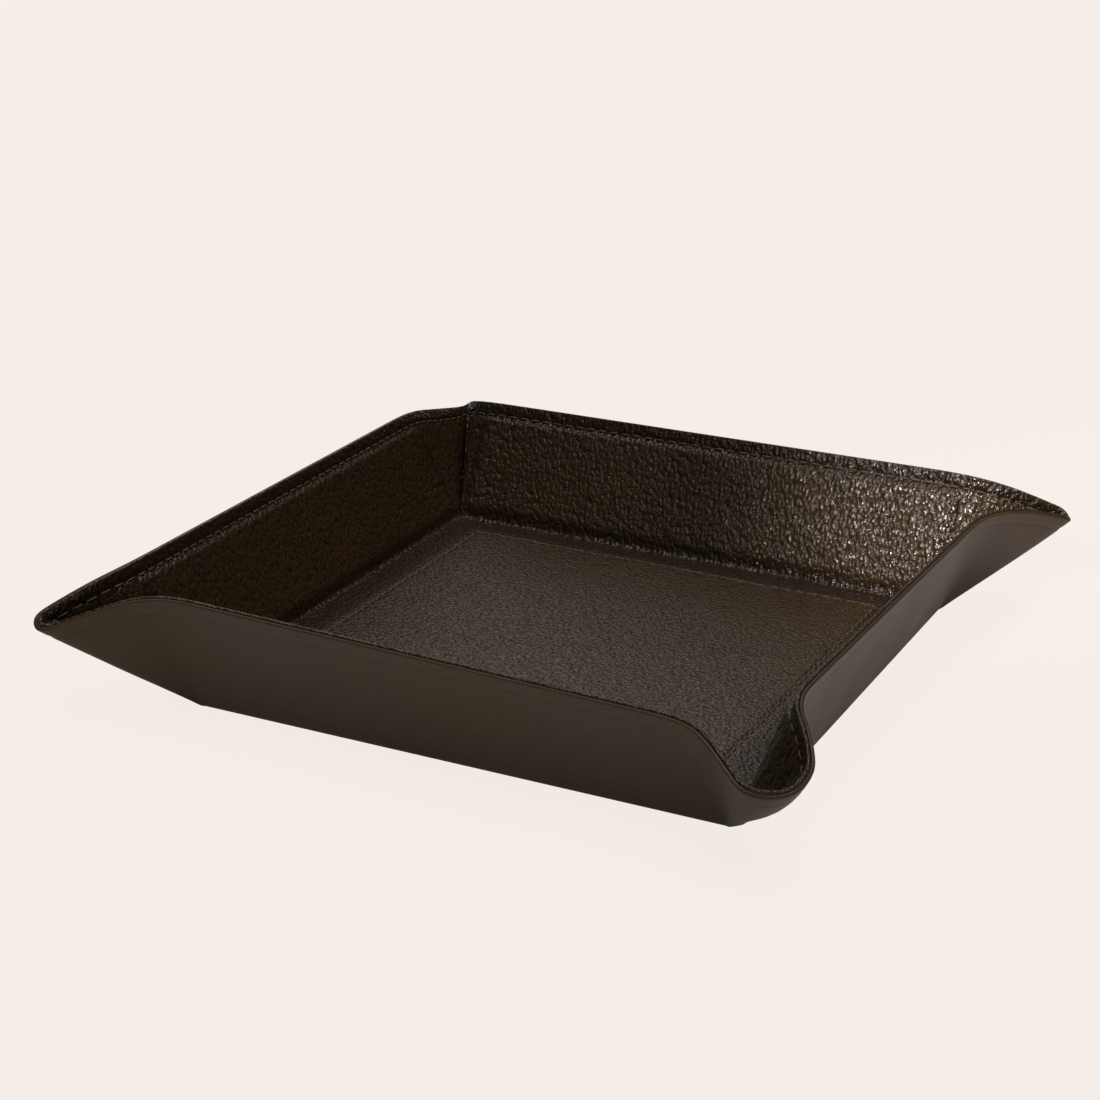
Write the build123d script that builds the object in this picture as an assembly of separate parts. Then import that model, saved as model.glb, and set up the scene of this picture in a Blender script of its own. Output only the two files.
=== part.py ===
from build123d import *
from math import cos, radians, sin
import os

# A leather valet tray: one flat square panel of outer leather and grained lining, sewn together
# round the rim over a stiff floor board and four wall boards. The walls fold up at the edges of the
# floor board, and each corner of the panel is pinched outward into a pointed spout.
# The origin is the middle of the underside. Front is -Y, right is +X, and the tray stands on Z = 0.

# Size of the tray, in millimetres and degrees
base_side = 160.0
wall_slant = 39.5
wall_flare_angle = 24.0
wall_end_spread = -1.0
corner_cut = 4.0

# Pinched corners, measured from the sharp corner of the floor to the tip of the spout
ear_reach = 37.5
ear_tip_height = 25.5
ear_tip_half_width = 3.2
ear_bow_reach = 10.0
ear_bow_out = 1.0
ear_bow_drop = 1.0
ear_facets = 3

# Leathers, boards and the glue between them
outer_thickness = 1.0
lining_thickness = 0.9
wall_board_thickness = 0.8
floor_board_thickness = 1.2
glue_gap = 0.1

# Margins of the wall boards to the floor fold, the rim and the creases at the wall's ends
board_fold_margin = 2.5
board_rim_margin = 7.5
board_crease_margin = 2.5

# Sewing
floor_stitch_inset = 15.0
floor_stitch_margin = 1.8
rim_stitch_inset = 5.0
stitch_pitch = 4.0
stitch_length = 3.2
thread_width = 0.6
thread_crown = 0.35
thread_dip = 0.12
thread_clearance = 0.05
thread_end_margin = 0.6
groove_clearance = 0.1

# Bar tack that holds each pinched corner
tack_length_share = 0.62
tack_depth = 2.4
tack_radius = 0.5
tack_clearance = 0.1

half_base = base_side / 2
flare_sine = sin(radians(wall_flare_angle))
flare_cosine = cos(radians(wall_flare_angle))
wall_overhang = wall_slant * flare_sine
wall_height = wall_slant * flare_cosine
lining_start = outer_thickness + glue_gap
lining_end = lining_start + lining_thickness
groove_depth = thread_crown + thread_clearance + groove_clearance

side_turns = {"front": 0, "right": 90, "back": 180, "left": 270}
corner_turns = {"front_right": 0, "back_right": 90, "back_left": 180, "front_left": 270}

# The corner between the front and the right wall, from which the other three are turned
diagonal = Vector(1, -1, 0).normalized()
sideways = Vector(1, 1, 0).normalized()
front_foot = Vector(half_base - corner_cut, -half_base, 0)
right_foot = Vector(half_base, -half_base + corner_cut, 0)
front_crest = Vector(half_base + wall_end_spread, -half_base - wall_overhang, wall_height)
right_crest = Vector(half_base + wall_overhang, -half_base - wall_end_spread, wall_height)
ear_tip = Vector(half_base, -half_base, ear_tip_height) + diagonal * ear_reach
front_tip = ear_tip - sideways * ear_tip_half_width
right_tip = ear_tip + sideways * ear_tip_half_width
front_bow = front_crest + Vector(ear_bow_reach, -ear_bow_out, -ear_bow_drop)
right_bow = right_crest + Vector(ear_bow_out, -ear_bow_reach, -ear_bow_drop)
floor_inward = Vector(0, 0, 1)
front_inward = Vector(0, flare_cosine, flare_sine)
right_inward = Vector(-flare_cosine, 0, flare_sine)


def bow_point(start, middle, end, share):
    """A point on the quadratic curve that leaves start towards middle and ends at end."""
    rest = 1 - share
    return start * (rest * rest) + middle * (2 * rest * share) + end * (share * share)


def plane_normal(first, second, third):
    return (second - first).cross(third - first).normalized()


def two_plane_step(first, second):
    """The shortest step that moves a point one unit off each of two planes."""
    return (first + second) / (1 + first.dot(second))


def three_plane_step(first, second, third):
    """The step that moves a point one unit off each of three planes."""
    total = first.cross(second) + second.cross(third) + third.cross(first)
    return total / first.dot(second.cross(third))


# The rim of the spout runs from the front crest to the tip, over it, and back to the right crest
rim_shares = [index / ear_facets for index in range(ear_facets + 1)]
front_rim = [bow_point(front_crest, front_bow, front_tip, share) for share in rim_shares]
right_rim = [bow_point(right_crest, right_bow, right_tip, share) for share in rim_shares][::-1]
front_flaps = [plane_normal(front_foot, a, b) for a, b in zip(front_rim[:-1], front_rim[1:])]
right_flaps = [plane_normal(right_foot, a, b) for a, b in zip(right_rim[:-1], right_rim[1:])]
crease_inward = plane_normal(front_foot, front_tip, right_tip)
corner_rim = front_rim + right_rim
flap_normals = front_flaps + [crease_inward] + right_flaps
edge_normals = [front_inward] + flap_normals + [right_inward]
front_foot_step = three_plane_step(floor_inward, front_inward, crease_inward)
right_foot_step = three_plane_step(floor_inward, right_inward, crease_inward)


def skin_corner(depth):
    """The two feet and the rim points of the skin that lies this deep inside the outer face."""
    feet = [front_foot + front_foot_step * depth, right_foot + right_foot_step * depth]
    rim = []
    for point, before, after in zip(corner_rim, edge_normals[:-1], edge_normals[1:]):
        rim.append(point + two_plane_step(before, after) * depth)
    return feet, rim


def turned(point, angle):
    return point.rotate(Axis.Z, angle)


def flat_face(*points):
    return Face(Wire.make_polygon(points, close=True))


def skin_faces(depth):
    """The faces of one skin of the panel, and its rim as one closed list of points."""
    feet, rim = skin_corner(depth)
    corners = []
    for angle in corner_turns.values():
        corners.append(([turned(foot, angle) for foot in feet], [turned(point, angle) for point in rim]))
    faces = [flat_face(*[foot for corner_feet, _ in corners for foot in corner_feet])]
    for index, ((front, right), points) in enumerate(corners):
        (next_foot, _), next_points = corners[(index + 1) % len(corners)]
        faces.append(flat_face(right, points[-1], next_points[0], next_foot))
        faces.append(flat_face(front, points[ear_facets], points[ear_facets + 1], right))
        for step in range(ear_facets):
            faces.append(flat_face(front, points[step], points[step + 1]))
            faces.append(flat_face(right, points[-step - 2], points[-step - 1]))
    return faces, [point for _, points in corners for point in points]


def leather_shell(outer_depth, inner_depth):
    """A closed solid between two skins of the panel."""
    outer_faces, outer_rim = skin_faces(outer_depth)
    inner_faces, inner_rim = skin_faces(inner_depth)
    edge_faces = []
    for index in range(len(outer_rim)):
        following = (index + 1) % len(outer_rim)
        edge_faces.append(flat_face(outer_rim[index], outer_rim[following], inner_rim[following]))
        edge_faces.append(flat_face(outer_rim[index], inner_rim[following], inner_rim[index]))
    return Solid(Shell(outer_faces + inner_faces + edge_faces))


def wall_half(slant):
    """Half the wall's length between its creases, this far up its slant."""
    return half_base - corner_cut + (wall_end_spread + corner_cut) * slant / wall_slant


def wall_prism(margin, start_depth, end_depth):
    """A trapezoid block in the front wall, as large as its board with this margin all round."""
    low = board_fold_margin - margin
    high = wall_slant - board_rim_margin + margin
    low_half = wall_half(low) - board_crease_margin + margin
    high_half = wall_half(high) - board_crease_margin + margin
    origin = Vector(0, -half_base, 0) + front_inward * start_depth
    plane = Plane(origin=origin, x_dir=(-1, 0, 0), z_dir=front_inward)
    outline = [(-low_half, low), (low_half, low), (high_half, high), (-high_half, high)]
    face = plane * Polygon(*outline, align=None)
    return extrude(face, amount=end_depth - start_depth, dir=front_inward)


def floor_prism(margin, start_depth, end_depth):
    """A square block on the floor, as large as its board with this margin all round."""
    side = base_side - 2 * (floor_stitch_inset + floor_stitch_margin - margin)
    block = Box(side, side, end_depth - start_depth, align=(Align.CENTER, Align.CENTER, Align.MIN))
    return Pos(0, 0, start_depth) * block


def board_pocket(prism, thickness):
    """The raised block of lining over a board, and the pocket in it that the board fills."""
    raised = prism(lining_thickness + glue_gap, lining_start, lining_end + thickness)
    pocket = prism(glue_gap, 0, lining_start + thickness)
    return raised, pocket


def build_lining():
    """The grained lining: a skin over the whole panel, raised over each board."""
    lining = leather_shell(lining_start, lining_end)
    wall_raised, wall_pocket = board_pocket(wall_prism, wall_board_thickness)
    floor_raised, floor_pocket = board_pocket(floor_prism, floor_board_thickness)
    for angle in side_turns.values():
        lining += Rot(0, 0, angle) * wall_raised
    lining += floor_raised
    for angle in side_turns.values():
        lining -= Rot(0, 0, angle) * wall_pocket
    return lining - floor_pocket


def thread_run(start, end, normal):
    """One thread along a seam: a crown for each stitch, and a dip where it goes into the leather."""
    along = (end - start).normalized()
    length = (end - start).length - 2 * thread_end_margin
    count = max(1, round(length / stitch_pitch))
    pitch = length / count
    crown = pitch * stitch_length / stitch_pitch
    outline = [(0, 0), (0, thread_dip)]
    for index in range(count):
        left = index * pitch + (pitch - crown) / 2
        right = left + crown
        outline += [(left, thread_dip), (left, thread_crown), (right, thread_crown), (right, thread_dip)]
    outline += [(length, thread_dip), (length, 0)]
    origin = start + along * thread_end_margin + normal * thread_clearance
    plane = Plane(origin=origin, x_dir=along, z_dir=along.cross(normal))
    face = plane * Polygon(*outline, align=None)
    return extrude(face, amount=thread_width / 2, both=True)


def rim_threads():
    """The inner and the outer thread of the front wall's rim seam."""
    slope = Vector(0, -flare_sine, flare_cosine)
    height = wall_slant - rim_stitch_inset
    half = wall_half(height)
    middle = Vector(0, -half_base, 0) + slope * height
    threads = []
    for depth, normal in ((lining_end, front_inward), (0, front_inward * -1)):
        seat = middle + front_inward * depth
        threads.append(thread_run(seat - Vector(half, 0, 0), seat + Vector(half, 0, 0), normal))
    return threads


def ear_threads():
    """The threads that follow the rim round the spout, on the lining and on the outer leather."""
    threads = []
    for depth, way in ((lining_end, 1), (0, -1)):
        (front, right), rim = skin_corner(depth)
        seam = []
        for index, point in enumerate(rim):
            foot = front if index <= ear_facets else right
            reach = (point - foot).length
            seam.append(foot + (point - foot) * (1 - rim_stitch_inset / reach))
        for index, normal in enumerate(flap_normals):
            if index != ear_facets or way < 0:
                threads.append(thread_run(seam[index], seam[index + 1], normal * way))
    return threads


def floor_threads():
    """The thread on the floor and the thread in the groove underneath, along the front."""
    inset = floor_stitch_inset
    half = half_base - inset
    threads = []
    for height, normal in ((lining_end, Vector(0, 0, 1)), (groove_depth, Vector(0, 0, -1))):
        start = Vector(-half, -half, height)
        end = Vector(half, -half, height)
        threads.append(thread_run(start, end, normal))
    return threads


def build_outer():
    """The outer leather, with the groove of the floor seam on its underside."""
    outer = leather_shell(0, outer_thickness)
    length = base_side - 2 * floor_stitch_inset + thread_width + 2 * groove_clearance
    width = thread_width + 2 * groove_clearance
    groove = Box(length, width, groove_depth, align=(Align.CENTER, Align.CENTER, Align.MIN))
    groove = Pos(0, floor_stitch_inset - half_base, 0) * groove
    for angle in side_turns.values():
        outer -= Rot(0, 0, angle) * groove
    return outer


def corner_tack():
    """The bar of thread across the pinched corner, between the two sides of the spout."""
    (front, right), rim = skin_corner(lining_end)
    low = (front + right) / 2
    high = (rim[ear_facets] + rim[ear_facets + 1]) / 2
    centre = low + (high - low) * tack_length_share + crease_inward * tack_depth
    flap = plane_normal(front, rim[ear_facets - 1], rim[ear_facets])
    lean = abs(crease_inward.dot(flap) / sideways.dot(flap))
    half = (centre - front).dot(flap) / sideways.dot(flap) - tack_radius * lean - tack_clearance
    plane = Plane(origin=centre - sideways * half, z_dir=sideways)
    return extrude(plane * Circle(tack_radius), amount=2 * half)


wall_board = wall_prism(0, lining_start, lining_start + wall_board_thickness)
floor_board = floor_prism(0, lining_start, lining_start + floor_board_thickness)

nodes = {
    "outer_leather": [build_outer()],
    "inner_lining": [build_lining()],
    "floor_board": [floor_board],
}
for side, angle in side_turns.items():
    nodes[f"wall_board_{side}"] = [Rot(0, 0, angle) * wall_board]
    nodes[f"rim_stitching_{side}"] = [Rot(0, 0, angle) * thread for thread in rim_threads()]
    nodes[f"floor_stitching_{side}"] = [Rot(0, 0, angle) * thread for thread in floor_threads()]
for corner, angle in corner_turns.items():
    nodes[f"ear_stitching_{corner}"] = [Rot(0, 0, angle) * thread for thread in ear_threads()]
    nodes[f"corner_tack_{corner}"] = [Rot(0, 0, angle) * corner_tack()]

os.makedirs("parts", exist_ok=True)
for name, pieces in nodes.items():
    solids = [solid for piece in pieces for solid in piece.solids()]
    shape = solids[0] if len(solids) == 1 else Compound(children=solids)
    export_step(shape, f"parts/{name}.step")
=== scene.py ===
import math

import bpy
import numpy
from mathutils import Matrix, Vector, noise


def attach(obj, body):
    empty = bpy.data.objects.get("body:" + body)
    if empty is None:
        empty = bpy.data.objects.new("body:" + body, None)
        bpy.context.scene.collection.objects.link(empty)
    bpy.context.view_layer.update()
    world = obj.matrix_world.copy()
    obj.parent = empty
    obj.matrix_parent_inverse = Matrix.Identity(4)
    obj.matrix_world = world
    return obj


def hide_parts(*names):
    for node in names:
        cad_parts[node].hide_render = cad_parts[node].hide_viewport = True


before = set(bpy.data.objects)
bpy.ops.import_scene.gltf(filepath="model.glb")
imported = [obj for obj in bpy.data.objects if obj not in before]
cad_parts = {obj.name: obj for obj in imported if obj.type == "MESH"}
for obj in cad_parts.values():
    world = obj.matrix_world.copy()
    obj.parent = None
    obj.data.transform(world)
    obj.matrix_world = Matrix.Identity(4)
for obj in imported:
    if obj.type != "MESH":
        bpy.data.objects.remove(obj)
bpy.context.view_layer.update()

# A dark brown leather valet tray: smooth leather outside, pebbled lining inside, sewn round the rim
# and round the floor board, with each corner pinched outward into an open spout.
# Sizes are in millimetres and are turned into metres where a mesh is made.

METRE = 0.001

SIDES = ("front", "right", "back", "left")
CORNERS = ("front_right", "back_right", "back_left", "front_left")

# The tray's own sizes
BASE_SIDE = 160.0
OUTER_THICKNESS = 1.0
LINING_THICKNESS = 0.9
GLUE_GAP = 0.1
EDGE_ROUNDING = 0.3
OUTER_FACE_FOLD = 1.4
OUTER_BACK_FOLD = 1.3
LINING_FOLD = 0.9
HALF_BASE = BASE_SIDE / 2
LINING_START = OUTER_THICKNESS + GLUE_GAP
LINING_END = LINING_START + LINING_THICKNESS

# How far in from the folds the floor's rings have lost the corners' cuts
SQUARE_INSET = 14.0

# The boards, which lie in the thickness of the lining, and how much they raise its face. A pair of
# distances, here and below, is where a soft step starts and ends, from the fold or from the rim.
WALL_BOARD_START = 0.02
WALL_BOARD_END = 0.75
WALL_BOARD_FOLD_MARGIN = 2.5
WALL_BOARD_RIM_MARGIN = 7.5
WALL_BOARD_ROWS = 12
WALL_BOARD_END_COLUMNS = 3
WALL_BOARD_RISE = 0.8
WALL_BOARD_FOOT = (1.0, 5.0)
WALL_BOARD_TOP = (4.3, 6.3)
LEDGE_RISE = 1.6
LEDGE_START = 1.5
LEDGE_RUN = 11.0
FLOOR_BOARD_RISE = 1.85
FLOOR_BOARD_STEP = (0.2, 1.4)

# The seams and their thread. Each groove is given by its depth and its half width.
FLOOR_STITCH_INSET = 15.0
RIM_STITCH_INSET = 4.0
STITCH_PITCH = 4.0
STITCH_END_SHARES = (0.09, 0.91)
THREAD_RADIUS = 0.32
THREAD_SINK = 0.34
THREAD_END_SHARE = 0.72
THREAD_FLATNESS = 0.8
LINING_PROUD = 0.28
OUTER_PROUD = -0.24
LINING_RIM_GROOVE = (0.28, 0.75)
LINING_FLOOR_GROOVE = (0.25, 0.6)
OUTER_RIM_GROOVE = (0.14, 0.8)
OUTER_FLOOR_GROOVE = (0.5, 0.7)
TACK_RADIUS = 0.45

# Soft waves in the leather: height, size, seed and the step up to them, from the rim
LINING_WAVES = ((0.22, 26.0, 1, (1.0, 9.0)), (0.07, 9.0, 2, (1.0, 6.0)))
OUTER_WAVES = (0.22, 30.0, 3, (1.0, 9.0))
OUTER_WAVES_FOOT = (0.5, 5.0)
# How far the noise moves along each axis from one seed to the next
NOISE_SEED_STEPS = (17.3, 5.1, 29.7)

# The lining's darker rim band, and its painted shade from the floor seam, from the fold and up a crease
RIM_MARGIN_START = (0.4, 1.2)
RIM_MARGIN_END = (4.4, 5.4)
LEDGE_PAINTED_SHADE_START = (0.4, 1.4)
LEDGE_PAINTED_SHADE_END = (1.5, 5.0)
LEDGE_PAINTED_SHADE_LEVEL = 0.9
FOLD_PAINTED_SHADE_END = (1.5, 3.5)
CREASE_PAINTED_SHADE_END_SHARES = (0.55, 0.85)

# The corners are bent by hand, so each one differs a little. Slants, flares, spreads and bows are
# those of the two wall ends that meet there: the wall's height along its slope, its angle from
# upright in degrees, how far it runs past the corner, and how much the rim's curve is pulled along
# the rim, out and down. Reach and shift place the tip of the spout along and across the diagonal,
# lean tilts it, bulge and lip drop round its lip, cut is how far the folds stop short of the corner,
# and sag bows its crease outward.
CORNER_SHAPES = {
    "front_right": {
        "slants": (39.4, 39.4),
        "flares": (29.3, 19.6),
        "spreads": (-8.4, 0.5),
        "bows": ((4.6, 1.1, -0.2), (8.1, 7.3, 2.7)),
        "reach": 27.1,
        "shift": -3.2,
        "tip_height": 25.7,
        "tip_half_width": 9.3,
        "tip_lean": 2.0,
        "bulge": 6.6,
        "lip_drop": 1.4,
        "cut": 2.6,
        "sag": 2.0,
    },
    "back_right": {
        "slants": (39.4, 40.6),
        "flares": (22.8, 21.1),
        "spreads": (-14.4, 0.7),
        "bows": ((12.4, 6.6, -0.2), (12.8, 1.5, 1.3)),
        "reach": 35.6,
        "shift": -6.6,
        "tip_height": 28.5,
        "tip_half_width": 3.0,
        "tip_lean": 1.1,
        "bulge": 1.5,
        "lip_drop": 2.5,
        "cut": 0.4,
        "sag": 0.5,
    },
    "back_left": {
        "slants": (39.4, 39.4),
        "flares": (27.6, 19.2),
        "spreads": (-0.9, -10.2),
        "bows": ((7.8, 1.1, 1.0), (7.5, 0.8, 1.9)),
        "reach": 29.3,
        "shift": -13.6,
        "tip_height": 28.1,
        "tip_half_width": 3.3,
        "tip_lean": 0.1,
        "bulge": 1.2,
        "lip_drop": 0.6,
        "cut": 1.2,
        "sag": -1.5,
    },
    "front_left": {
        "slants": (39.4, 39.4),
        "flares": (18.6, 23.6),
        "spreads": (2.2, -7.9),
        "bows": ((10.7, 2.3, 0.4), (8.4, 0.5, 0.6)),
        "reach": 34.8,
        "shift": 0.2,
        "tip_height": 26.5,
        "tip_half_width": 3.2,
        "tip_lean": -1.6,
        "bulge": 1.4,
        "lip_drop": 1.0,
        "cut": 8.5,
        "sag": 0.4,
    },
}

# The way a spout's crease bows, in the corner between the front and the right
SAG_DIRECTION = (0.64, -0.64, -0.43)
SAG_SHARES = (0.1, 0.9)

# How finely the leather is divided along the rim, into columns
WALL_STEPS = 90
FLAP_STEPS = 20
TIP_STEPS = 10
CORNER_COLUMNS = 2 * (FLAP_STEPS + 1) + TIP_STEPS - 1
COLUMNS = len(CORNERS) * (CORNER_COLUMNS + WALL_STEPS - 1)

# How often the rim is smoothed, everywhere and again where a wall turns into a spout, and how wide
# such places are, in columns and smoothings
RIM_SMOOTHINGS = 4
CREST_SMOOTHINGS = 30
CREST_COLUMNS = 6
CREST_BLEND = 12
CREASE_COLUMNS = 7
CREASE_BLEND = 6
BOARD_END_BLEND = 1

# Rings of the mesh, from the middle of the floor to the rim. Floor rings are given by their inset
# from the fold, wall rings by their distance from the fold or from the rim.
FLOOR_RINGS = [78, 72, 64, 56, 48, 40, 32, 26, 23, 21, 19.5, 18.6, 18, 17.5, 17, 16.5, 16.1, 15.7]
FLOOR_RINGS += [15.35, 15.0, 14.65, 14.3, 13.8, 13.2, 12.4, 11.4, 10.4, 9.6, 8.8, 8, 7.2, 6.4, 5.6]
FLOOR_RINGS += [4.8, 4, 3.2, 2.4, 1.6, 0.8]
FOOT_RINGS = [0, 0.8, 1.6, 2.4, 3.2, 4, 4.8, 5.6, 6.4, 7.2, 8, 8.8, 9.6, 10.4]
MIDDLE_RINGS = 16
RIM_RINGS = [10, 9, 8.2, 7.4, 6.8, 6.2, 5.8, 5.4, 5.0, 4.6, 4.3, 4.0, 3.7, 3.4, 3.0, 2.2, 1.5, 1.0]
EDGE_RINGS = [0.75, 0.5, 0.36, 0.24, 0.14, 0.06, 0.0]
STITCH_FLOOR_RING = FLOOR_RINGS.index(FLOOR_STITCH_INSET)
WALL_RING_COUNT = len(FOOT_RINGS) + MIDDLE_RINGS + len(RIM_RINGS) + len(EDGE_RINGS)
STITCH_RIM_RING = len(FLOOR_RINGS) + len(FOOT_RINGS) + MIDDLE_RINGS + RIM_RINGS.index(RIM_STITCH_INSET)
RING_COUNT = len(FLOOR_RINGS) + WALL_RING_COUNT

# Where the bar tack sits: the ring it crosses at, and how many columns it reaches either way
TACK_RING = len(FLOOR_RINGS) + len(FOOT_RINGS) + 2
TACK_COLUMNS = 6


# Helpers

def vec(*values):
    return numpy.array(values, float)


def unit(vector):
    return vector / numpy.linalg.norm(vector)


def plane_normal(first, second, third):
    return unit(numpy.cross(second - first, third - first))


def two_plane_step(first, second):
    """How far the edge of two planes moves when both move by one along their normals."""
    return (first + second) / (1 + first @ second)


def three_plane_step(first, second, third):
    """How far the corner of three planes moves when all move by one along their normals."""
    total = numpy.cross(first, second) + numpy.cross(second, third) + numpy.cross(third, first)
    return total / (first @ numpy.cross(second, third))


def bow_point(start, middle, end, share):
    """The point at this share of the curve from start to end that middle pulls towards itself."""
    rest = 1 - share
    return start * rest * rest + middle * 2 * rest * share + end * share * share


def turn_z(points, quarter_turns):
    """The points turned about Z by a number of quarter turns."""
    angle = quarter_turns * math.pi / 2
    turn = numpy.array(
        [[math.cos(angle), -math.sin(angle), 0], [math.sin(angle), math.cos(angle), 0], [0, 0, 1]]
    )
    return numpy.asarray(points) @ turn.T


def smooth_loop(points, times):
    for _ in range(times):
        points = (numpy.roll(points, 1, axis=0) + 2 * points + numpy.roll(points, -1, axis=0)) / 4
    return points


def soft_step(values, start, end):
    share = numpy.clip((values - start) / (end - start), 0, 1)
    return share * share * (3 - 2 * share)


def soft_noise(grid, size, seed):
    """Smooth noise from -1 to 1 at each point of the grid, with features of about this size."""
    flat = grid.reshape(-1, 3) / size
    offset = Vector([seed * step for step in NOISE_SEED_STEPS])
    values = [noise.noise(Vector(point) + offset) for point in flat]
    return numpy.array(values).reshape(grid.shape[:2])


# Columns of the mesh

def corner_span(index):
    """First and last column of a corner's spout."""
    first = index * (CORNER_COLUMNS + WALL_STEPS - 1)
    return first, first + CORNER_COLUMNS - 1


def wall_span(index):
    """First and last column of a wall; the front wall lies between the last corner and the first."""
    first = (index - 1) % len(CORNERS) * (CORNER_COLUMNS + WALL_STEPS - 1) + CORNER_COLUMNS - 1
    return first, first + WALL_STEPS


def span_columns(first, last):
    return [column % COLUMNS for column in range(first, last + 1)]


def column_share(spans, blend):
    """For each column, 1 in these spans and 0 outside them, with a soft change between."""
    share = numpy.zeros(COLUMNS)
    for first, last in spans:
        share[span_columns(first, last)] = 1
    return smooth_loop(share, blend)


def wall_share():
    """1 on the walls and 0 on the spouts."""
    spans = [wall_span(index) for index in range(len(SIDES))]
    return column_share([(first + 1, last - 1) for first, last in spans], BOARD_END_BLEND)


def crest_share():
    """1 where a wall's rim turns into a spout's."""
    ends = [end for index in range(len(SIDES)) for end in wall_span(index)]
    return column_share([(end - CREST_COLUMNS, end + CREST_COLUMNS) for end in ends], CREST_BLEND)


def crease_share():
    """1 at the crease in the middle of each spout."""
    middles = [sum(corner_span(index)) // 2 for index in range(len(CORNERS))]
    spans = [(middle - CREASE_COLUMNS, middle + CREASE_COLUMNS) for middle in middles]
    return column_share(spans, CREASE_BLEND)


# The shape of the leathers

def corner_rails(depth, shape):
    """Feet and rim points of one corner on one skin, turned to lie between the front and the right."""
    diagonal = unit(vec(1, -1, 0))
    sideways = unit(vec(1, 1, 0))
    front_flare, right_flare = [math.radians(flare) for flare in shape["flares"]]
    front_spread, right_spread = shape["spreads"]
    front_slant, right_slant = shape["slants"]
    front_out, front_up = front_slant * math.sin(front_flare), front_slant * math.cos(front_flare)
    right_out, right_up = right_slant * math.sin(right_flare), right_slant * math.cos(right_flare)
    front_foot = vec(HALF_BASE - shape["cut"], -HALF_BASE, 0)
    right_foot = vec(HALF_BASE, -HALF_BASE + shape["cut"], 0)
    front_crest = vec(HALF_BASE + front_spread, -HALF_BASE - front_out, front_up)
    right_crest = vec(HALF_BASE + right_out, -HALF_BASE - right_spread, right_up)
    tip = vec(HALF_BASE, -HALF_BASE, shape["tip_height"])
    tip = tip + diagonal * shape["reach"] + sideways * shape["shift"]
    across = sideways * shape["tip_half_width"] + vec(0, 0, shape["tip_lean"])
    front_tip = tip - across
    right_tip = tip + across
    (front_reach, front_push, front_drop), (right_reach, right_push, right_drop) = shape["bows"]
    front_bow = front_crest + vec(front_reach, -front_push, -front_drop)
    right_bow = right_crest + vec(right_push, -right_reach, -right_drop)
    shares = [index / FLAP_STEPS for index in range(FLAP_STEPS + 1)]
    front_rim = [bow_point(front_crest, front_bow, front_tip, share) for share in shares]
    right_rim = [bow_point(right_crest, right_bow, right_tip, share) for share in shares][::-1]
    front_inward = vec(0, math.cos(front_flare), math.sin(front_flare))
    right_inward = vec(-math.cos(right_flare), 0, math.sin(right_flare))
    crease = plane_normal(front_foot, front_tip, right_tip)
    front_flaps = [plane_normal(front_foot, a, b) for a, b in zip(front_rim[:-1], front_rim[1:])]
    right_flaps = [plane_normal(right_foot, a, b) for a, b in zip(right_rim[:-1], right_rim[1:])]
    normals = [front_inward] + front_flaps + [crease] + right_flaps + [right_inward]
    rim = []
    for point, before, after in zip(front_rim + right_rim, normals[:-1], normals[1:]):
        rim.append(point + two_plane_step(before, after) * depth)
    front = front_foot + three_plane_step(vec(0, 0, 1), front_inward, crease) * depth
    right = right_foot + three_plane_step(vec(0, 0, 1), right_inward, crease) * depth
    turn = FLAP_STEPS + 1
    # A curve reaches half way to its middle point, so the lip's is twice the bulge away
    lip = (rim[turn - 1] + rim[turn]) / 2 + diagonal * shape["bulge"] * 2 - vec(0, 0, shape["lip_drop"])
    between = [index / TIP_STEPS for index in range(1, TIP_STEPS)]
    bridge_feet = [front + (right - front) * share for share in between]
    bridge_rim = [bow_point(rim[turn - 1], lip, rim[turn], share) for share in between]
    feet = [front] * turn + bridge_feet + [right] * turn
    rim = rim[:turn] + bridge_rim + rim[turn:]
    return numpy.array(feet), numpy.array(rim)


def rails(depth):
    """The closed rails of one skin, as feet and rim points, one pair for each column."""
    corners = []
    for index, corner in enumerate(CORNERS):
        feet, rim = corner_rails(depth, CORNER_SHAPES[corner])
        corners.append((turn_z(feet, index), turn_z(rim, index)))
    feet, rim = [], []
    shares = numpy.arange(1, WALL_STEPS)[:, None] / WALL_STEPS
    for index, (this_feet, this_rim) in enumerate(corners):
        next_feet, next_rim = corners[(index + 1) % len(corners)]
        feet.append(this_feet)
        rim.append(this_rim)
        feet.append(this_feet[-1] + (next_feet[0] - this_feet[-1]) * shares)
        rim.append(this_rim[-1] + (next_rim[0] - this_rim[-1]) * shares)
    feet = smooth_loop(numpy.concatenate(feet), RIM_SMOOTHINGS)
    rim = smooth_loop(numpy.concatenate(rim), RIM_SMOOTHINGS)
    rim += (smooth_loop(rim, CREST_SMOOTHINGS) - rim) * crest_share()[:, None]
    return feet, rim


def wall_distances(length):
    """Distances from the fold of every wall ring, on columns of these lengths."""
    rows = [numpy.full_like(length, distance) for distance in FOOT_RINGS]
    last_foot = FOOT_RINGS[-1]
    first_rim = length - RIM_RINGS[0]
    for index in range(MIDDLE_RINGS):
        share = (index + 1) / (MIDDLE_RINGS + 1)
        rows.append(last_foot + (first_rim - last_foot) * share)
    for distance in RIM_RINGS + EDGE_RINGS:
        rows.append(length - distance)
    return numpy.array(rows)


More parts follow.
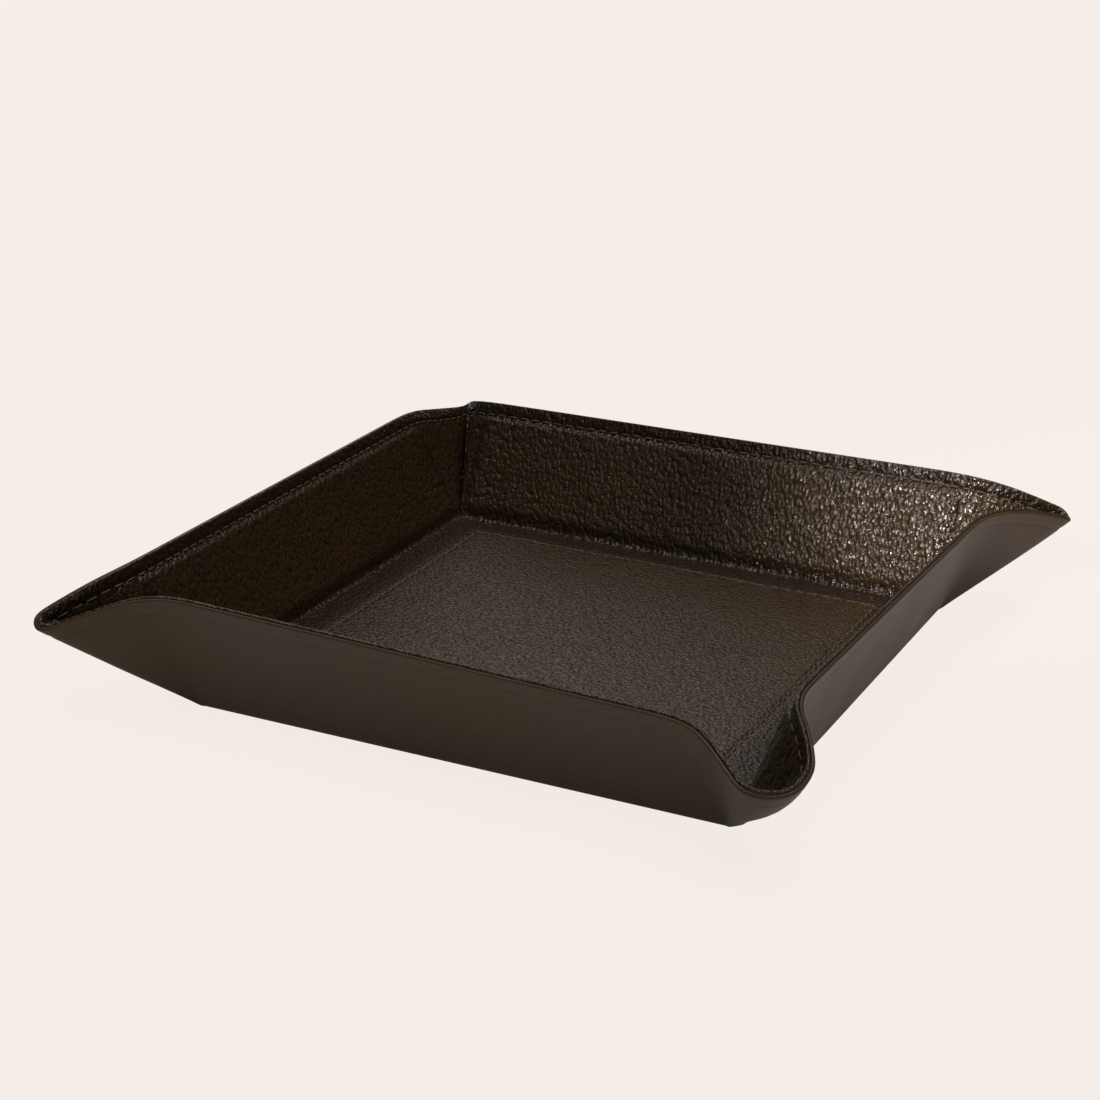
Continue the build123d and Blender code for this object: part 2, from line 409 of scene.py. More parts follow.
def crease_sag(share):
    """How far each column of a spout bows outward, this far up to the rim, most at two thirds up."""
    rise = numpy.clip(share, 0, 1)
    # Two thirds squared times one third is one part in 6.75, so the most is the sag itself
    profile = 6.75 * rise**2 * (1 - rise)
    offset = numpy.zeros((COLUMNS, 3))
    for index, corner in enumerate(CORNERS):
        shape = CORNER_SHAPES[corner]
        first, last = corner_span(index)
        outward = turn_z([unit(vec(*SAG_DIRECTION))], index)[0]
        for column in range(first, last + 1):
            across = 1 - abs(2 * (column - first) / (last - first) - 1)
            weight = shape["sag"] * soft_step(numpy.array(across), *SAG_SHARES)
            offset[column] = outward * weight * profile[column]
    return offset


def skin(depth, fold_radius):
    """The plain skin at this depth, ring by column by three, with each point's distance from the
    fold, negative on the floor, and each column's length from the fold to the rim."""
    feet, rim = rails(depth)
    base, _ = rails(0.0)
    base = base[:, :2]
    square = base * HALF_BASE / numpy.abs(base).max(axis=1)[:, None]
    length = numpy.linalg.norm(rim - feet, axis=1)
    direction = (rim - feet) / length[:, None]
    places = [numpy.full(COLUMNS, -inset) for inset in FLOOR_RINGS]
    places = numpy.concatenate([numpy.array(places), wall_distances(length)])

    def flat_point(place):
        inset = -numpy.minimum(place, 0)[:, None]
        outside = numpy.maximum(place, 0)[:, None]
        squared = soft_step(inset, 0.0, SQUARE_INSET)
        ring = (base * (1 - squared) + square * squared) * (1 - inset / HALF_BASE)
        points = feet + direction * outside
        points[:, :2] += ring - base + (base - feet[:, :2]) * squared
        return points

    low = flat_point(numpy.full(COLUMNS, -fold_radius))
    high = flat_point(numpy.full(COLUMNS, fold_radius))
    rows = []
    for place in places:
        share = numpy.clip((place + fold_radius) / (2 * fold_radius), 0, 1)[:, None]
        curved = low * (1 - share) ** 2 + feet * 2 * share * (1 - share) + high * share**2
        near = (numpy.abs(place) < fold_radius)[:, None]
        rows.append(numpy.where(near, curved, flat_point(place)) + crease_sag(place / length))
    return numpy.array(rows), places, length


def grid_normals(grid):
    """Unit normals of a ring by column grid, pointing to the inside of the tray."""
    along = numpy.roll(grid, -1, axis=1) - numpy.roll(grid, 1, axis=1)
    across = numpy.gradient(grid, axis=0)
    normals = numpy.cross(across, along)
    normals /= numpy.maximum(numpy.linalg.norm(normals, axis=2), 1e-9)[..., None]
    return normals


def groove(distance, size):
    depth, half_width = size
    return depth * numpy.exp(-((distance / half_width) ** 2))


def waves(grid, from_rim, wave):
    height, size, seed, step = wave
    return height * soft_noise(grid, size, seed) * soft_step(from_rim, *step)


def lining_relief(grid, places, length):
    """How far the lining stands off its plain skin: over the boards, in the seams and in soft waves."""
    from_rim = length[None, :] - places
    relief = WALL_BOARD_RISE * wall_share()[None, :] * soft_step(places, *WALL_BOARD_FOOT)
    relief *= soft_step(from_rim, *WALL_BOARD_TOP)
    relief += LEDGE_RISE * numpy.clip((-places - LEDGE_START) / LEDGE_RUN, 0, 1)
    relief += (FLOOR_BOARD_RISE - LEDGE_RISE) * soft_step(-places - FLOOR_STITCH_INSET, *FLOOR_BOARD_STEP)
    relief -= groove(from_rim - RIM_STITCH_INSET, LINING_RIM_GROOVE) * (places > 0)
    relief -= groove(places + FLOOR_STITCH_INSET, LINING_FLOOR_GROOVE)
    for wave in LINING_WAVES:
        relief += waves(grid, from_rim, wave)
    return relief


def outer_relief(grid, places, length):
    """How far the outer leather stands off its plain skin, outward."""
    from_rim = length[None, :] - places
    relief = waves(grid, from_rim, OUTER_WAVES) * soft_step(places, *OUTER_WAVES_FOOT)
    relief -= groove(from_rim - RIM_STITCH_INSET, OUTER_RIM_GROOVE) * (places > 0)
    relief -= groove(places + FLOOR_STITCH_INSET, OUTER_FLOOR_GROOVE)
    return relief


def rim_and_painted_shade_share(places, length):
    """1 where the lining's colour is darkened: a darker band at the rim, and painted shade in folds and
    creases, at the boards' ends and, a little less so, on the ledge beside the floor board."""
    from_rim = length[None, :] - places
    on_wall = places > 0
    rim = (1 - soft_step(from_rim, *RIM_MARGIN_END)) * soft_step(from_rim, *RIM_MARGIN_START)
    # The ledge, fold, crease and board end terms are painted shade; the rim term is a darker band
    ledge = soft_step(places + FLOOR_STITCH_INSET, *LEDGE_PAINTED_SHADE_START)
    ledge *= LEDGE_PAINTED_SHADE_LEVEL * (1 - soft_step(places, *LEDGE_PAINTED_SHADE_END))
    fold = 1 - soft_step(numpy.abs(places), *FOLD_PAINTED_SHADE_END)
    upper = soft_step(places / length[None, :], *CREASE_PAINTED_SHADE_END_SHARES)
    crease = crease_share()[None, :] * on_wall * (1 - upper)
    walls = wall_share()[None, :]
    board_end_shade = 4 * walls * (1 - walls) * on_wall
    return numpy.maximum.reduce([rim, ledge, fold, crease, board_end_shade])


# Meshes

def plain_mesh(name, vertices, faces, is_smooth):
    """A mesh with its vertices given in millimetres."""
    mesh = bpy.data.meshes.new(name)
    mesh.from_pydata((numpy.array(vertices) * METRE).tolist(), [], faces)
    mesh.validate()
    mesh.update()
    for polygon in mesh.polygons:
        polygon.use_smooth = is_smooth
    return mesh


def leather_mesh(name, visible, hidden, rim_and_painted_shade=None):
    """A closed thin shell from two grids that meet at the rim, and its darker rim band and painted shade.
    """
    vertices = numpy.concatenate([visible.reshape(-1, 3), hidden[:-1].reshape(-1, 3)])
    hidden_start = visible.shape[0] * COLUMNS
    faces = []

    def index_of(ring, column, is_hidden):
        if is_hidden and ring < RING_COUNT - 1:
            return hidden_start + ring * COLUMNS + column % COLUMNS
        return ring * COLUMNS + column % COLUMNS

    for is_hidden in (False, True):
        for ring in range(RING_COUNT - 1):
            for column in range(COLUMNS):
                corners = [
                    index_of(ring, column, is_hidden),
                    index_of(ring, column + 1, is_hidden),
                    index_of(ring + 1, column + 1, is_hidden),
                    index_of(ring + 1, column, is_hidden),
                ]
                faces.append(corners[::-1] if is_hidden else corners)
    middle_visible = visible[0].mean(axis=0)
    middle_hidden = hidden[0].mean(axis=0)
    vertices = numpy.concatenate([vertices, [middle_visible, middle_hidden]])
    first_middle = len(vertices) - 2
    for column in range(COLUMNS):
        faces.append([index_of(0, column + 1, False), index_of(0, column, False), first_middle])
        faces.append([index_of(0, column, True), index_of(0, column + 1, True), first_middle + 1])
    mesh = plain_mesh(name, vertices, faces, True)
    if rim_and_painted_shade is not None:
        values = numpy.zeros(len(vertices))
        values[:hidden_start] = rim_and_painted_shade.ravel()
        mesh.attributes.new("rim_and_painted_shade", "FLOAT", "POINT").data.foreach_set("value", values)
    return mesh


def add_object(name, mesh, material):
    piece = bpy.data.objects.new(name, mesh)
    bpy.context.scene.collection.objects.link(piece)
    piece.data.materials.append(material)
    return piece


def round_edge(visible, hidden):
    """Rounds the cut edge of a leather at the rim, between its two skins."""
    radius = EDGE_ROUNDING
    for offset, distance in enumerate(reversed(EDGE_RINGS)):
        if distance >= radius:
            continue
        ring = RING_COUNT - 1 - offset
        share = 0.5 * (1 - math.sqrt(1 - (1 - distance / radius) ** 2))
        outer, inner = visible[ring].copy(), hidden[ring].copy()
        visible[ring] = outer + (inner - outer) * share
        hidden[ring] = inner + (outer - inner) * share


def build_leathers():
    """Both leathers as ring by column grids, a visible face and a hidden back, and the lining's darker
    rim band and painted shade.
    """
    outer_face, places, length = skin(0.0, OUTER_FACE_FOLD)
    outer_back, _, _ = skin(OUTER_THICKNESS, OUTER_BACK_FOLD)
    outer_normals = -grid_normals(outer_face)
    outer_face = outer_face + outer_normals * outer_relief(outer_face, places, length)[..., None]
    round_edge(outer_face, outer_back)

    lining_face, lining_places, lining_length = skin(LINING_END, LINING_FOLD)
    lining_back, _, _ = skin(LINING_START, LINING_FOLD)
    normals = grid_normals(lining_face)
    relief = lining_relief(lining_face, lining_places, lining_length)
    lining_face = lining_face + normals * relief[..., None]
    round_edge(lining_face, lining_back)
    rim_and_painted_shade = rim_and_painted_shade_share(lining_places, lining_length)
    return outer_face, outer_back, lining_face, lining_back, rim_and_painted_shade


def board_grid(side, depth):
    """The face of one wall board at this depth, as rows up the wall by columns along it."""
    feet, rim = rails(depth)
    first, last = wall_span(side)
    columns = span_columns(first + WALL_BOARD_END_COLUMNS, last - WALL_BOARD_END_COLUMNS)
    feet, rim = feet[columns], rim[columns]
    length = numpy.linalg.norm(rim - feet, axis=1)[:, None]
    direction = (rim - feet) / length
    height = length - WALL_BOARD_FOLD_MARGIN - WALL_BOARD_RIM_MARGIN
    rows = []
    for share in numpy.linspace(0, 1, WALL_BOARD_ROWS):
        rows.append(feet + direction * (WALL_BOARD_FOLD_MARGIN + height * share))
    return numpy.array(rows)


def board_mesh(name, side):
    """A thin closed plate inside the wall, just under the lining's face."""
    low = board_grid(side, LINING_START + WALL_BOARD_START)
    high = board_grid(side, LINING_START + WALL_BOARD_END)
    rows, columns = low.shape[:2]
    vertices = numpy.concatenate([low.reshape(-1, 3), high.reshape(-1, 3)])
    lift = rows * columns
    faces = []
    for row in range(rows - 1):
        for column in range(columns - 1):
            corner = row * columns + column
            square = [corner, corner + 1, corner + columns + 1, corner + columns]
            faces.append(square[::-1])
            faces.append([lift + vertex for vertex in square])
    border = list(range(columns))
    border += [row * columns + columns - 1 for row in range(1, rows)]
    border += [(rows - 1) * columns + column for column in reversed(range(columns - 1))]
    border += [row * columns for row in reversed(range(1, rows - 1))]
    for index, corner in enumerate(border):
        following = border[(index + 1) % len(border)]
        faces.append([corner, following, lift + following, lift + corner])
    return plain_mesh(name, vertices, faces, False)


def tack_mesh(name, ends):
    """A plain round bar of thread from the first end to the second."""
    start, end = ends
    axis = unit(end - start)
    side = unit(numpy.cross(axis, vec(0, 0, 1)))
    above = numpy.cross(side, axis)
    sides = 12
    vertices = []
    for centre in (start, end):
        for step in range(sides):
            angle = 2 * math.pi * step / sides
            around = side * math.cos(angle) + above * math.sin(angle)
            vertices.append(centre + around * TACK_RADIUS)
    faces = [list(reversed(range(sides))), list(range(sides, 2 * sides))]
    for step in range(sides):
        following = (step + 1) % sides
        faces.append([step, following, sides + following, sides + step])
    return plain_mesh(name, vertices, faces, False)


# Materials

# The darker and the lighter tone of each, and what the lining's rim band and painted shade multiply its
# tone by
LINING_TONES = ((0.036, 0.0175, 0.0034), (0.046, 0.0235, 0.0052))
OUTER_TONES = ((0.042, 0.0215, 0.0052), (0.049, 0.026, 0.0072))
THREAD_TONES = ((0.068, 0.047, 0.029), (0.098, 0.070, 0.046))
BOARD_TONES = ((0.27, 0.20, 0.13), (0.42, 0.33, 0.23))
RIM_AND_PAINTED_SHADE_COLOUR = (0.50, 0.41, 0.29)
# The middle of a noise's values, which a ramp is spread over
NOISE_RANGE = (0.3, 0.7)
# How far noise pushes the pebbles about, in metres, and how they are drawn out along each axis
GRAIN_WARP = 0.0014
GRAIN_STRETCH = (1.0, 1.0, 0.6)
# The coarse and the fine pebbles: how many to the metre and how high
GRAINS = ((860.0, -1.0), (1700.0, -0.25))


def new_material(name):
    material = bpy.data.materials.new(name)
    material.use_nodes = True
    nodes = material.node_tree.nodes
    shader = nodes["Principled BSDF"]
    return material, nodes, material.node_tree.links, shader


def add_node(nodes, kind, **settings):
    node = nodes.new(kind)
    for name, value in settings.items():
        if hasattr(node, name):
            setattr(node, name, value)
        else:
            node.inputs[name].default_value = value
    return node


def ramp_node(nodes, places, colours):
    """A ramp from one colour to another, between these two places."""
    ramp = nodes.new("ShaderNodeValToRGB")
    for element, place, colour in zip(ramp.color_ramp.elements, places, colours):
        element.position = place
        element.color = (*colour, 1.0)
    return ramp


def grey(value):
    return (value, value, value)


def lining_material():
    """Pebbled leather: irregular rounded cells with fine creases between, and a soft gloss."""
    material, nodes, links, shader = new_material("pebbled_leather")
    place = nodes.new("ShaderNodeTexCoord")
    warp = add_node(nodes, "ShaderNodeTexNoise", Scale=420.0, Detail=2.0)
    links.new(place.outputs["Object"], warp.inputs["Vector"])
    shift = add_node(nodes, "ShaderNodeVectorMath", operation="MULTIPLY_ADD")
    shift.inputs[1].default_value = (GRAIN_WARP, GRAIN_WARP, GRAIN_WARP)
    links.new(warp.outputs["Color"], shift.inputs[0])
    stretch = add_node(nodes, "ShaderNodeVectorMath", operation="MULTIPLY")
    stretch.inputs[1].default_value = GRAIN_STRETCH
    links.new(place.outputs["Object"], stretch.inputs[0])
    links.new(stretch.outputs[0], shift.inputs[2])
    heights = []
    for scale, depth in GRAINS:
        cells = add_node(nodes, "ShaderNodeTexVoronoi", feature="F1", Scale=scale)
        links.new(shift.outputs[0], cells.inputs["Vector"])
        squared = add_node(nodes, "ShaderNodeMath", operation="MULTIPLY")
        links.new(cells.outputs["Distance"], squared.inputs[0])
        links.new(cells.outputs["Distance"], squared.inputs[1])
        dome = add_node(nodes, "ShaderNodeMath", operation="MULTIPLY_ADD")
        dome.inputs[1].default_value = depth
        dome.inputs[2].default_value = 1.0
        links.new(squared.outputs[0], dome.inputs[0])
        heights.append(dome.outputs[0])
    height = add_node(nodes, "ShaderNodeMath", operation="ADD")
    links.new(heights[0], height.inputs[0])
    links.new(heights[1], height.inputs[1])
    bump = add_node(nodes, "ShaderNodeBump", Strength=1.0, Distance=0.00044)
    links.new(height.outputs[0], bump.inputs["Height"])
    waves = add_node(nodes, "ShaderNodeTexNoise", Scale=150.0, Detail=2.0)
    links.new(place.outputs["Object"], waves.inputs["Vector"])
    soft = add_node(nodes, "ShaderNodeBump", Strength=1.0, Distance=0.00028)
    links.new(waves.outputs["Fac"], soft.inputs["Height"])
    links.new(soft.outputs["Normal"], bump.inputs["Normal"])
    links.new(bump.outputs["Normal"], shader.inputs["Normal"])
    blotch = add_node(nodes, "ShaderNodeTexNoise", Scale=28.0, Detail=4.0)
    links.new(place.outputs["Object"], blotch.inputs["Vector"])
    tone = ramp_node(nodes, NOISE_RANGE, LINING_TONES)
    links.new(blotch.outputs["Fac"], tone.inputs["Fac"])
    # Painted shade: the valleys between the pebbles are coloured darker
    pebble_valley_shade = ramp_node(nodes, (0.55, 0.8), (grey(0.45), grey(1.0)))
    links.new(heights[0], pebble_valley_shade.inputs["Fac"])
    mix = add_node(nodes, "ShaderNodeMix", data_type="RGBA", blend_type="MULTIPLY")
    mix.inputs["Factor"].default_value = 1.0
    links.new(tone.outputs["Color"], mix.inputs["A"])
    links.new(pebble_valley_shade.outputs["Color"], mix.inputs["B"])
    # The lining's rim band is darkened here, and its painted shade is multiplied in
    rim_and_painted_shade = add_node(nodes, "ShaderNodeAttribute", attribute_name="rim_and_painted_shade")
    rim_and_shade_darkening = add_node(nodes, "ShaderNodeMix", data_type="RGBA", blend_type="MULTIPLY")
    links.new(rim_and_painted_shade.outputs["Fac"], rim_and_shade_darkening.inputs["Factor"])
    links.new(mix.outputs["Result"], rim_and_shade_darkening.inputs["A"])
    rim_and_shade_darkening.inputs["B"].default_value = (*RIM_AND_PAINTED_SHADE_COLOUR, 1.0)
    links.new(rim_and_shade_darkening.outputs["Result"], shader.inputs["Base Color"])
    gloss = ramp_node(nodes, (0.6, 0.9), (grey(0.45), grey(0.15)))
    links.new(heights[0], gloss.inputs["Fac"])
    links.new(gloss.outputs["Color"], shader.inputs["Roughness"])
    shader.inputs["Specular IOR Level"].default_value = 0.5
    return material


def outer_material():
    """Smooth matte leather with a very fine grain and faint cloudy wear."""
    material, nodes, links, shader = new_material("smooth_leather")
    place = nodes.new("ShaderNodeTexCoord")
    fine = add_node(nodes, "ShaderNodeTexVoronoi", feature="SMOOTH_F1", Scale=1700.0, Smoothness=0.6)
    links.new(place.outputs["Object"], fine.inputs["Vector"])
    cloud = add_node(nodes, "ShaderNodeTexNoise", Scale=34.0, Detail=5.0)
    links.new(place.outputs["Object"], cloud.inputs["Vector"])
    bump = add_node(nodes, "ShaderNodeBump", Strength=0.35, Distance=0.00012, invert=True)
    links.new(fine.outputs["Distance"], bump.inputs["Height"])
    soft = add_node(nodes, "ShaderNodeBump", Strength=0.25, Distance=0.0006)
    links.new(cloud.outputs["Fac"], soft.inputs["Height"])
    links.new(bump.outputs["Normal"], soft.inputs["Normal"])
    links.new(soft.outputs["Normal"], shader.inputs["Normal"])
    tone = ramp_node(nodes, NOISE_RANGE, OUTER_TONES)
    links.new(cloud.outputs["Fac"], tone.inputs["Fac"])
    links.new(tone.outputs["Color"], shader.inputs["Base Color"])
    rough = ramp_node(nodes, NOISE_RANGE, (grey(0.44), grey(0.54)))
    links.new(cloud.outputs["Fac"], rough.inputs["Fac"])
    links.new(rough.outputs["Color"], shader.inputs["Roughness"])
    shader.inputs["Specular IOR Level"].default_value = 0.4
    return material


def thread_material():
    """Waxed twisted thread."""
    material, nodes, links, shader = new_material("waxed_thread")
    place = nodes.new("ShaderNodeTexCoord")
    twist = add_node(nodes, "ShaderNodeTexWave", Scale=900.0, Distortion=2.0)
    links.new(place.outputs["Object"], twist.inputs["Vector"])
    bump = add_node(nodes, "ShaderNodeBump", Strength=0.5, Distance=0.0001)
    links.new(twist.outputs["Fac"], bump.inputs["Height"])
    links.new(bump.outputs["Normal"], shader.inputs["Normal"])
    # Painted shade: the thread is coloured darker in the grooves of its twist than on its ridges
    tone = ramp_node(nodes, (0.0, 1.0), THREAD_TONES)
    links.new(twist.outputs["Fac"], tone.inputs["Fac"])
    links.new(tone.outputs["Color"], shader.inputs["Base Color"])
    shader.inputs["Roughness"].default_value = 0.5
    shader.inputs["Specular IOR Level"].default_value = 0.4
    return material


def board_material():
    """Pressed fibreboard, hidden between the leathers."""
    material, nodes, links, shader = new_material("fibreboard")
    place = nodes.new("ShaderNodeTexCoord")
    fibres = add_node(nodes, "ShaderNodeTexNoise", Scale=420.0, Detail=6.0)
    links.new(place.outputs["Object"], fibres.inputs["Vector"])
    tone = ramp_node(nodes, NOISE_RANGE, BOARD_TONES)
    links.new(fibres.outputs["Fac"], tone.inputs["Fac"])
    links.new(tone.outputs["Color"], shader.inputs["Base Color"])
    bump = add_node(nodes, "ShaderNodeBump", Strength=0.4, Distance=0.0002)
    links.new(fibres.outputs["Fac"], bump.inputs["Height"])
    links.new(bump.outputs["Normal"], shader.inputs["Normal"])
    shader.inputs["Roughness"].default_value = 0.85
    return material


# Sewing

def stitch_geometry(start, end, normal, crown):
    """Vertices and faces of one stitch: a short thread that rises out of one hole and into the next."""
    sides, rings = 8, 9
    along = end - start
    side = unit(numpy.cross(along, normal))
    vertices, faces = [], []
    for ring in range(rings):
        share = ring / (rings - 1)
        arch = math.sin(math.pi * share)
        lift = crown * arch**0.6 - THREAD_SINK * (1 - arch**0.5)
        centre = start + along * share + normal * lift
        swell = THREAD_RADIUS * (THREAD_END_SHARE + (1 - THREAD_END_SHARE) * arch)
        for step in range(sides):
            angle = 2 * math.pi * step / sides
            offset = side * math.cos(angle) + normal * math.sin(angle) * THREAD_FLATNESS
            vertices.append(centre + offset * swell)
    for ring in range(rings - 1):
        for step in range(sides):
            corner = ring * sides + step
            following = ring * sides + (step + 1) % sides
            faces.append([corner, corner + sides, following + sides, following])
    faces.append(list(range(sides)))
    faces.append([(rings - 1) * sides + step for step in reversed(range(sides))])
    return vertices, faces


def point_along(points, run, distance):
    """The point at this distance along a line of points, which are at the distances in run."""
    return vec(*[numpy.interp(distance, run, points[:, axis]) for axis in range(3)])


def stitches_along(points, normals, proud, vertices, faces):
    """Adds stitches, evenly spaced, along a seam given by its points, surface normals and height."""
    steps = numpy.linalg.norm(numpy.diff(points, axis=0), axis=1)
    run = numpy.concatenate([[0], numpy.cumsum(steps)])
    count = max(1, round(run[-1] / STITCH_PITCH))
    pitch = run[-1] / count
    for index in range(count):
        start, end = [point_along(points, run, (index + share) * pitch) for share in STITCH_END_SHARES]
        normal = unit(point_along(normals, run, (index + 0.5) * pitch))
        new_vertices, new_faces = stitch_geometry(start, end, normal, proud)
        offset = len(vertices)
        vertices.extend(new_vertices)
        faces.extend([[offset + corner for corner in face] for face in new_faces])


def sew(name, seams, material):
    """One piece of sewing that stands for the node of the same name."""
    vertices, faces = [], []
    for points, normals, proud in seams:
        stitches_along(points, normals, proud, vertices, faces)
    mesh = plain_mesh(name + "_stitches", vertices, faces, True)
    piece = add_object(name + "_stitches", mesh, material)
    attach(piece, "root")
    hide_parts(name)


def sew_tray(outer_face, lining_face, material):
    """Every seam, with its thread on both faces of the tray."""
    faces = (
        (lining_face, grid_normals(lining_face), LINING_PROUD),
        (outer_face, -grid_normals(outer_face), OUTER_PROUD),
    )

    def seams(ring, first, last):
        columns = span_columns(first, last)
        return [(grid[ring][columns], normals[ring][columns], proud) for grid, normals, proud in faces]

    for index, side in enumerate(SIDES):
        sew("rim_stitching_" + side, seams(STITCH_RIM_RING, *wall_span(index)), material)
        start = sum(corner_span((index - 1) % len(CORNERS))) // 2 + 1
        end = start + CORNER_COLUMNS + WALL_STEPS - 2
        sew("floor_stitching_" + side, seams(STITCH_FLOOR_RING, start, end), material)
    for index, corner in enumerate(CORNERS):
        sew("ear_stitching_" + corner, seams(STITCH_RIM_RING, *corner_span(index)), material)


# The studio

BACKGROUND = (0.922, 0.863, 0.815)
FLOOR_COLOUR = (0.86, 0.83, 0.80)
# How much of the floor glows by itself, as the camera sees it and as the tray does
FLOOR_GLOW_SHARE = 0.93
FLOOR_LOW_GLOW_SHARE = 0.21
FLOOR_GLOW_LEVEL = 1.02
# How far the floor reaches each way and how far it lies below the tray, in metres
FLOOR_REACH = 6.0
FLOOR_DROP = 0.0001
LIGHT_TINT = (1.0, 0.945, 0.89)
FILL_LEVEL = 0.05
# Direction, the cosines where the soft light starts and ends, and its level
SOFT_LIGHTS = [
    ((-0.56, 0.68, 0.47), 0.82, 0.99, 0.92),
    ((0.20, -0.05, 0.97), 0.80, 0.99, 2.75),
]
# Both lamps' place and size, in metres
LAMP_PLACE = (0.045, -0.31, 0.25)
LAMP_SIZE = 0.05
# Name, the point it is turned to, its power in watts and how wide it spreads, in degrees
LAMPS = [
    ("narrow_lamp", (0.082, 0.095, 0.022), 0.0195, 15.5),
    ("wide_lamp", (0.04, 0.095, 0.022), 0.0055, 34.0),
]


def build_world():
    """Soft light from above and from behind on the left, and a pale background."""
    world = bpy.data.worlds.new("studio")
    bpy.context.scene.world = world
    world.use_nodes = True
    nodes, links = world.node_tree.nodes, world.node_tree.links
    background = nodes["Background"]
    place = nodes.new("ShaderNodeTexCoord")
    fill = nodes.new("ShaderNodeValue")
    fill.outputs[0].default_value = FILL_LEVEL
    light = fill.outputs[0]
    for direction, start, end, level in SOFT_LIGHTS:
        facing = add_node(nodes, "ShaderNodeVectorMath", operation="DOT_PRODUCT")
        facing.inputs[1].default_value = Vector(direction).normalized()
        links.new(place.outputs["Generated"], facing.inputs[0])
        spread = add_node(nodes, "ShaderNodeMapRange", interpolation_type="SMOOTHSTEP")
        spread.inputs["From Min"].default_value = start
        spread.inputs["From Max"].default_value = end
        spread.inputs["To Min"].default_value = 0.0
        spread.inputs["To Max"].default_value = level
        links.new(facing.outputs["Value"], spread.inputs["Value"])
        joined = add_node(nodes, "ShaderNodeMath", operation="ADD")
        links.new(light, joined.inputs[0])
        links.new(spread.outputs["Result"], joined.inputs[1])
        light = joined.outputs[0]
    tinted = add_node(nodes, "ShaderNodeVectorMath", operation="SCALE")
    tinted.inputs[0].default_value = LIGHT_TINT
    links.new(light, tinted.inputs["Scale"])
    rays = nodes.new("ShaderNodeLightPath")
    colour = add_node(nodes, "ShaderNodeMix", data_type="RGBA")
    links.new(rays.outputs["Is Camera Ray"], colour.inputs["Factor"])
    links.new(tinted.outputs["Vector"], colour.inputs["A"])
    colour.inputs["B"].default_value = (*BACKGROUND, 1)
    links.new(colour.outputs["Result"], background.inputs["Color"])


def build_lamps():
    """Small lamps in front of the tray: one turned to the back wall's right end, one to all of it."""
    for name, aim, power, spread in LAMPS:
        data = bpy.data.lights.new(name, "AREA")
        data.shape = "DISK"
        data.size = LAMP_SIZE
        data.energy = power
        data.color = LIGHT_TINT
        data.spread = math.radians(spread)
        lamp = bpy.data.objects.new(name, data)
        lamp.location = LAMP_PLACE
        toward = Vector(aim) - Vector(LAMP_PLACE)
        lamp.rotation_euler = toward.to_track_quat("-Z", "Y").to_euler()
        bpy.context.scene.collection.objects.link(lamp)


def build_floor():
    """A pale table top, which the camera sees mostly in the background's own colour."""
    mesh = bpy.data.meshes.new("studio_floor")
    signs = ((-1, -1), (1, -1), (1, 1), (-1, 1))
    mesh.from_pydata([(x * FLOOR_REACH, y * FLOOR_REACH, 0) for x, y in signs], [], [[0, 1, 2, 3]])
    material, nodes, links, shader = new_material("studio_floor")
    shader.inputs["Base Color"].default_value = (*FLOOR_COLOUR, 1)
    shader.inputs["Roughness"].default_value = 0.9
    shader.inputs["Specular IOR Level"].default_value = 0.0
    rays = nodes.new("ShaderNodeLightPath")
    glow = nodes.new("ShaderNodeEmission")
    glow.inputs["Color"].default_value = (*BACKGROUND, 1)
    glow.inputs["Strength"].default_value = FLOOR_GLOW_LEVEL
    share = add_node(nodes, "ShaderNodeMath", operation="MULTIPLY_ADD")
    share.inputs[1].default_value = FLOOR_GLOW_SHARE - FLOOR_LOW_GLOW_SHARE
    share.inputs[2].default_value = FLOOR_LOW_GLOW_SHARE
    links.new(rays.outputs["Is Camera Ray"], share.inputs[0])
    mixed = nodes.new("ShaderNodeMixShader")
    links.new(share.outputs[0], mixed.inputs[0])
    links.new(shader.outputs[0], mixed.inputs[1])
    links.new(glow.outputs[0], mixed.inputs[2])
    links.new(mixed.outputs[0], nodes["Material Output"].inputs["Surface"])
    floor = add_object("studio_floor", mesh, material)
    floor.location.z = -FLOOR_DROP


# The camera, at the photograph's angle, with its distance and target in millimetres

CAMERA_AZIMUTH = math.radians(25.36)
CAMERA_ELEVATION = math.radians(20.56)
CAMERA_ROLL = math.radians(1.15)
CAMERA_DISTANCE = 716.6
CAMERA_TARGET = Vector((-24.54, 32.44, 15.6))
FOCAL_PIXELS = 2449.8
PHOTO_WIDTH = 1100.0
SENSOR_WIDTH = 36.0


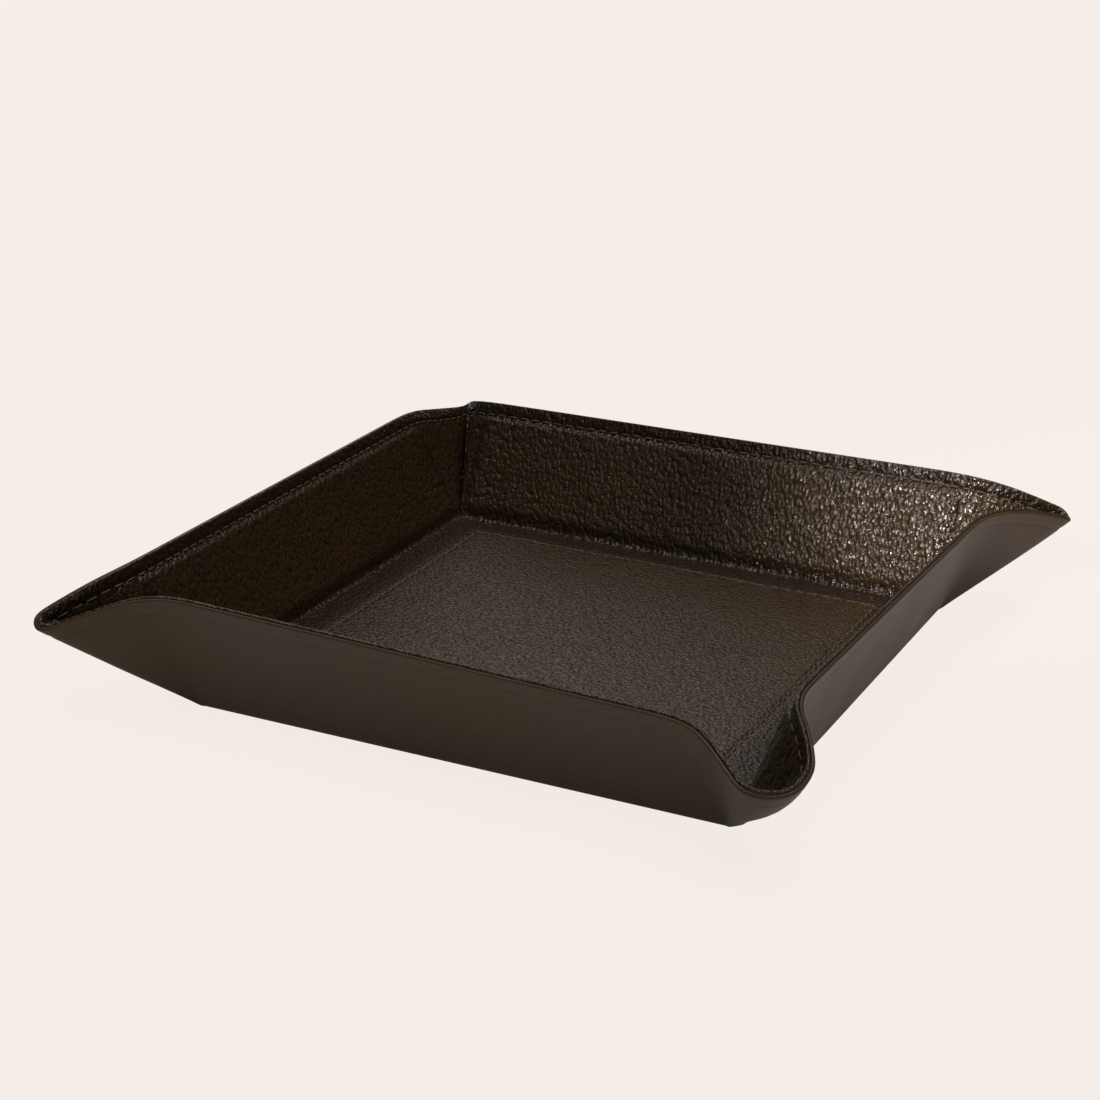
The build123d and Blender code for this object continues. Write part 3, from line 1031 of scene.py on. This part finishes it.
def build_camera():
    back = Vector(
        (
            math.sin(CAMERA_AZIMUTH) * math.cos(CAMERA_ELEVATION),
            -math.cos(CAMERA_AZIMUTH) * math.cos(CAMERA_ELEVATION),
            math.sin(CAMERA_ELEVATION),
        )
    )
    level = back.cross(Vector((0, 0, 1))).normalized() * -1
    upright = back.cross(level)
    right = level * math.cos(CAMERA_ROLL) + upright * math.sin(CAMERA_ROLL)
    above = upright * math.cos(CAMERA_ROLL) - level * math.sin(CAMERA_ROLL)
    data = bpy.data.cameras.new("camera")
    data.sensor_width = SENSOR_WIDTH
    data.sensor_fit = "HORIZONTAL"
    data.lens = FOCAL_PIXELS / PHOTO_WIDTH * SENSOR_WIDTH
    data.clip_start = 0.01
    data.clip_end = 50.0
    camera = bpy.data.objects.new("camera", data)
    place = (CAMERA_TARGET + back * CAMERA_DISTANCE) * METRE
    turn = Matrix((right, above, back)).transposed().to_4x4()
    camera.matrix_world = Matrix.Translation(place) @ turn
    bpy.context.scene.collection.objects.link(camera)
    bpy.context.scene.camera = camera


# The build

def dress_leathers(smooth_leather, pebbled_leather, thread):
    outer_face, outer_back, lining_face, lining_back, rim_and_painted_shade = build_leathers()
    outer_mesh = leather_mesh("outer_skin", outer_face, outer_back)
    outer_piece = add_object("outer_leather_skin", outer_mesh, smooth_leather)
    lining_mesh = leather_mesh("lining_skin", lining_face, lining_back, rim_and_painted_shade)
    lining_piece = add_object("lining_skin", lining_mesh, pebbled_leather)
    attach(outer_piece, "root")
    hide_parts("outer_leather")
    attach(lining_piece, "root")
    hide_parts("inner_lining")
    sew_tray(outer_face, lining_face, thread)
    return lining_face


def dress_boards(fibreboard):
    for index, side in enumerate(SIDES):
        node_name = "wall_board_" + side
        board = add_object(node_name + "_plate", board_mesh(node_name, index), fibreboard)
        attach(board, "root")
        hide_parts(node_name)
    floor_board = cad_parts["floor_board"]
    floor_board.data.materials.clear()
    floor_board.data.materials.append(fibreboard)


def dress_tacks(lining_face, thread):
    for index, corner in enumerate(CORNERS):
        node_name = "corner_tack_" + corner
        middle = sum(corner_span(index)) // 2
        ends = [lining_face[TACK_RING][middle + columns] for columns in (-TACK_COLUMNS, TACK_COLUMNS)]
        tack = add_object(node_name + "_bar", tack_mesh(node_name, ends), thread)
        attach(tack, "root")
        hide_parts(node_name)


waxed_thread = thread_material()
lining_grid = dress_leathers(outer_material(), lining_material(), waxed_thread)
dress_boards(board_material())
dress_tacks(lining_grid, waxed_thread)

build_world()
build_lamps()
build_floor()
build_camera()

bpy.context.scene.view_settings.view_transform = "Standard"
